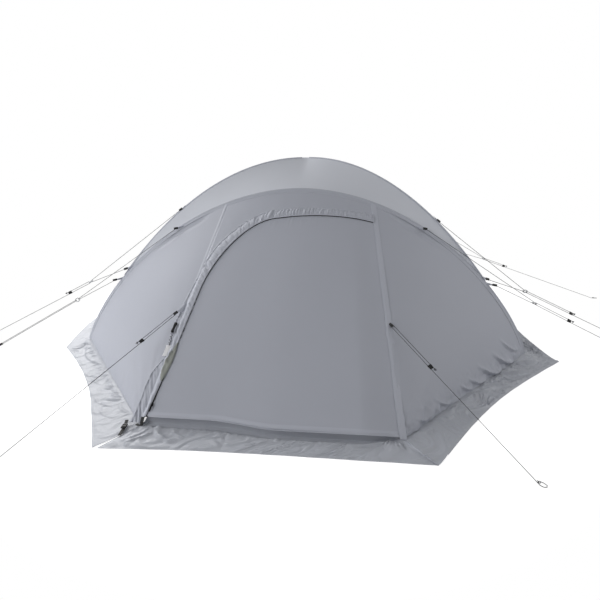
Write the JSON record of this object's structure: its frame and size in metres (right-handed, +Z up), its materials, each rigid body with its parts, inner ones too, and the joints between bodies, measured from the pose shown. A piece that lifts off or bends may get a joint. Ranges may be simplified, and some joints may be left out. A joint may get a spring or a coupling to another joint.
{
  "type": "backpacking tent",
  "caption": "Pitched geodesic double-wall tent with crossed poles, front and rear vestibules, snow skirts, a zipped side-opening door, an inner tent and taut guy lines.",
  "frame": {"origin": "on the ground, under the point where the long poles cross", "axes": "+X towards the tent's right as its door faces the viewer, +Y from the door to the rear, +Z up"},
  "size_m": [4.1948, 3.6299, 1.0665],
  "materials": {
    "fly": "satin silicone-coated ripstop",
    "roof": "satin silicone-coated ripstop",
    "skirt": "satin coated ripstop",
    "inner": "matt breathable ripstop",
    "groundsheet": "coated taffeta",
    "webbing": "woven matt",
    "pole": "anodised satin",
    "slider": "painted die-cast",
    "cord": "braided sheath with reflective fleck",
    "ring": "anodised satin",
    "tensioner": "moulded matt"
  },
  "bodies": {
    "tent": {"arch_pole_front": "pole", "roof_gore_front": "roof", "corner_panel_front_left": "fly", "foot_strap_front_left": "webbing", "corner_panel_front_right": "fly", "foot_strap_front_right": "webbing", "arch_pole_rear": "pole", "roof_gore_rear": "roof", "corner_panel_rear_left": "fly", "foot_strap_rear_left": "webbing", "corner_panel_rear_right": "fly", "foot_strap_rear_right": "webbing", "long_pole_under": "pole", "long_pole_over": "pole", "side_gore_left": "fly", "side_gore_right": "fly", "rear_panel": "fly", "front_brow": "fly", "storm_flap": "fly", "right_skirt": "skirt", "left_skirt": "skirt", "rear_skirt": "skirt", "groundsheet_tub": "groundsheet", "inner_tent": "inner", "guy_front_left": "cord", "guy_front_right": "cord", "guy_rear_left": "cord", "guy_rear_right": "cord", "bridle_arch_front_left": "cord", "ring_arch_front_left": "ring", "guy_arch_front_left": "cord", "bridle_arch_front_right": "cord", "ring_arch_front_right": "ring", "guy_arch_front_right": "cord", "bridle_long_front_left": "cord", "ring_long_front_left": "ring", "guy_long_front_left": "cord", "bridle_long_front_right": "cord", "ring_long_front_right": "ring", "guy_long_front_right": "cord", "bridle_arch_rear_left": "cord", "ring_arch_rear_left": "ring", "guy_arch_rear_left": "cord", "bridle_arch_rear_right": "cord", "ring_arch_rear_right": "ring", "guy_arch_rear_right": "cord"},
    "door": {"fly_door": "fly", "door_skirt": "skirt"},
    "inner_door": {"inner_door": "inner"},
    "zip_slider": {"zip_slider": "slider"},
    "tensioner_arch_front_left": {"tensioner_arch_front_left": "tensioner"},
    "tensioner_arch_front_right": {"tensioner_arch_front_right": "tensioner"},
    "tensioner_arch_rear_left": {"tensioner_arch_rear_left": "tensioner"},
    "tensioner_arch_rear_right": {"tensioner_arch_rear_right": "tensioner"},
    "tensioner_front_left": {"tensioner_front_left": "tensioner"},
    "tensioner_front_right": {"tensioner_front_right": "tensioner"},
    "tensioner_long_front_left": {"tensioner_long_front_left": "tensioner"},
    "tensioner_long_front_right": {"tensioner_long_front_right": "tensioner"},
    "tensioner_rear_left": {"tensioner_rear_left": "tensioner"},
    "tensioner_rear_right": {"tensioner_rear_right": "tensioner"}
  },
  "joints": [
    {"name": "door_hinge", "type": "hinge", "parent": "tent", "child": "door", "pos_m": [0.519, -1.51, 0.01], "axis": [-0.0737, 0.8062, 0.5871], "range_deg": [0, 115]},
    {"name": "inner_door_hinge", "type": "hinge", "parent": "tent", "child": "inner_door", "pos_m": [0.38304, -0.551, 0.16], "axis": [0.2138, -0.3124, -0.9256], "range_deg": [0, 100]},
    {"name": "zip_slide", "type": "slide", "parent": "door", "child": "zip_slider", "axis": [0.0998, 0.8108, 0.5768], "range_m": [0, 0.538]},
    {"name": "tensioner_arch_front_left_slide", "type": "slide", "parent": "tent", "child": "tensioner_arch_front_left", "axis": [0.7533, 0.49, 0.4387], "range_m": [0, 0.412]},
    {"name": "tensioner_arch_front_right_slide", "type": "slide", "parent": "tent", "child": "tensioner_arch_front_right", "axis": [-0.8945, 0.054, 0.4438], "range_m": [0, 0.168]},
    {"name": "tensioner_arch_rear_left_slide", "type": "slide", "parent": "tent", "child": "tensioner_arch_rear_left", "axis": [0.3006, -0.8901, 0.3425], "range_m": [0, 0.182]},
    {"name": "tensioner_arch_rear_right_slide", "type": "slide", "parent": "tent", "child": "tensioner_arch_rear_right", "axis": [-0.9382, -0.0602, 0.3407], "range_m": [0, 0.127]},
    {"name": "tensioner_front_left_slide", "type": "slide", "parent": "tent", "child": "tensioner_front_left", "axis": [0.473, 0.7977, 0.374], "range_m": [0, 0.173]},
    {"name": "tensioner_front_right_slide", "type": "slide", "parent": "tent", "child": "tensioner_front_right", "axis": [-0.549, 0.7358, 0.3966], "range_m": [0, 0.236]},
    {"name": "tensioner_long_front_left_slide", "type": "slide", "parent": "tent", "child": "tensioner_long_front_left", "axis": [0.8535, 0.2883, 0.4341], "range_m": [0, 0.095]},
    {"name": "tensioner_long_front_right_slide", "type": "slide", "parent": "tent", "child": "tensioner_long_front_right", "axis": [-0.8977, -0.081, 0.4332], "range_m": [0, 0.26]},
    {"name": "tensioner_rear_left_slide", "type": "slide", "parent": "tent", "child": "tensioner_rear_left", "axis": [0.5038, -0.7724, 0.3868], "range_m": [0, 0.321]},
    {"name": "tensioner_rear_right_slide", "type": "slide", "parent": "tent", "child": "tensioner_rear_right", "axis": [-0.5038, -0.7724, 0.3868], "range_m": [0, 0.321]}
  ]
}
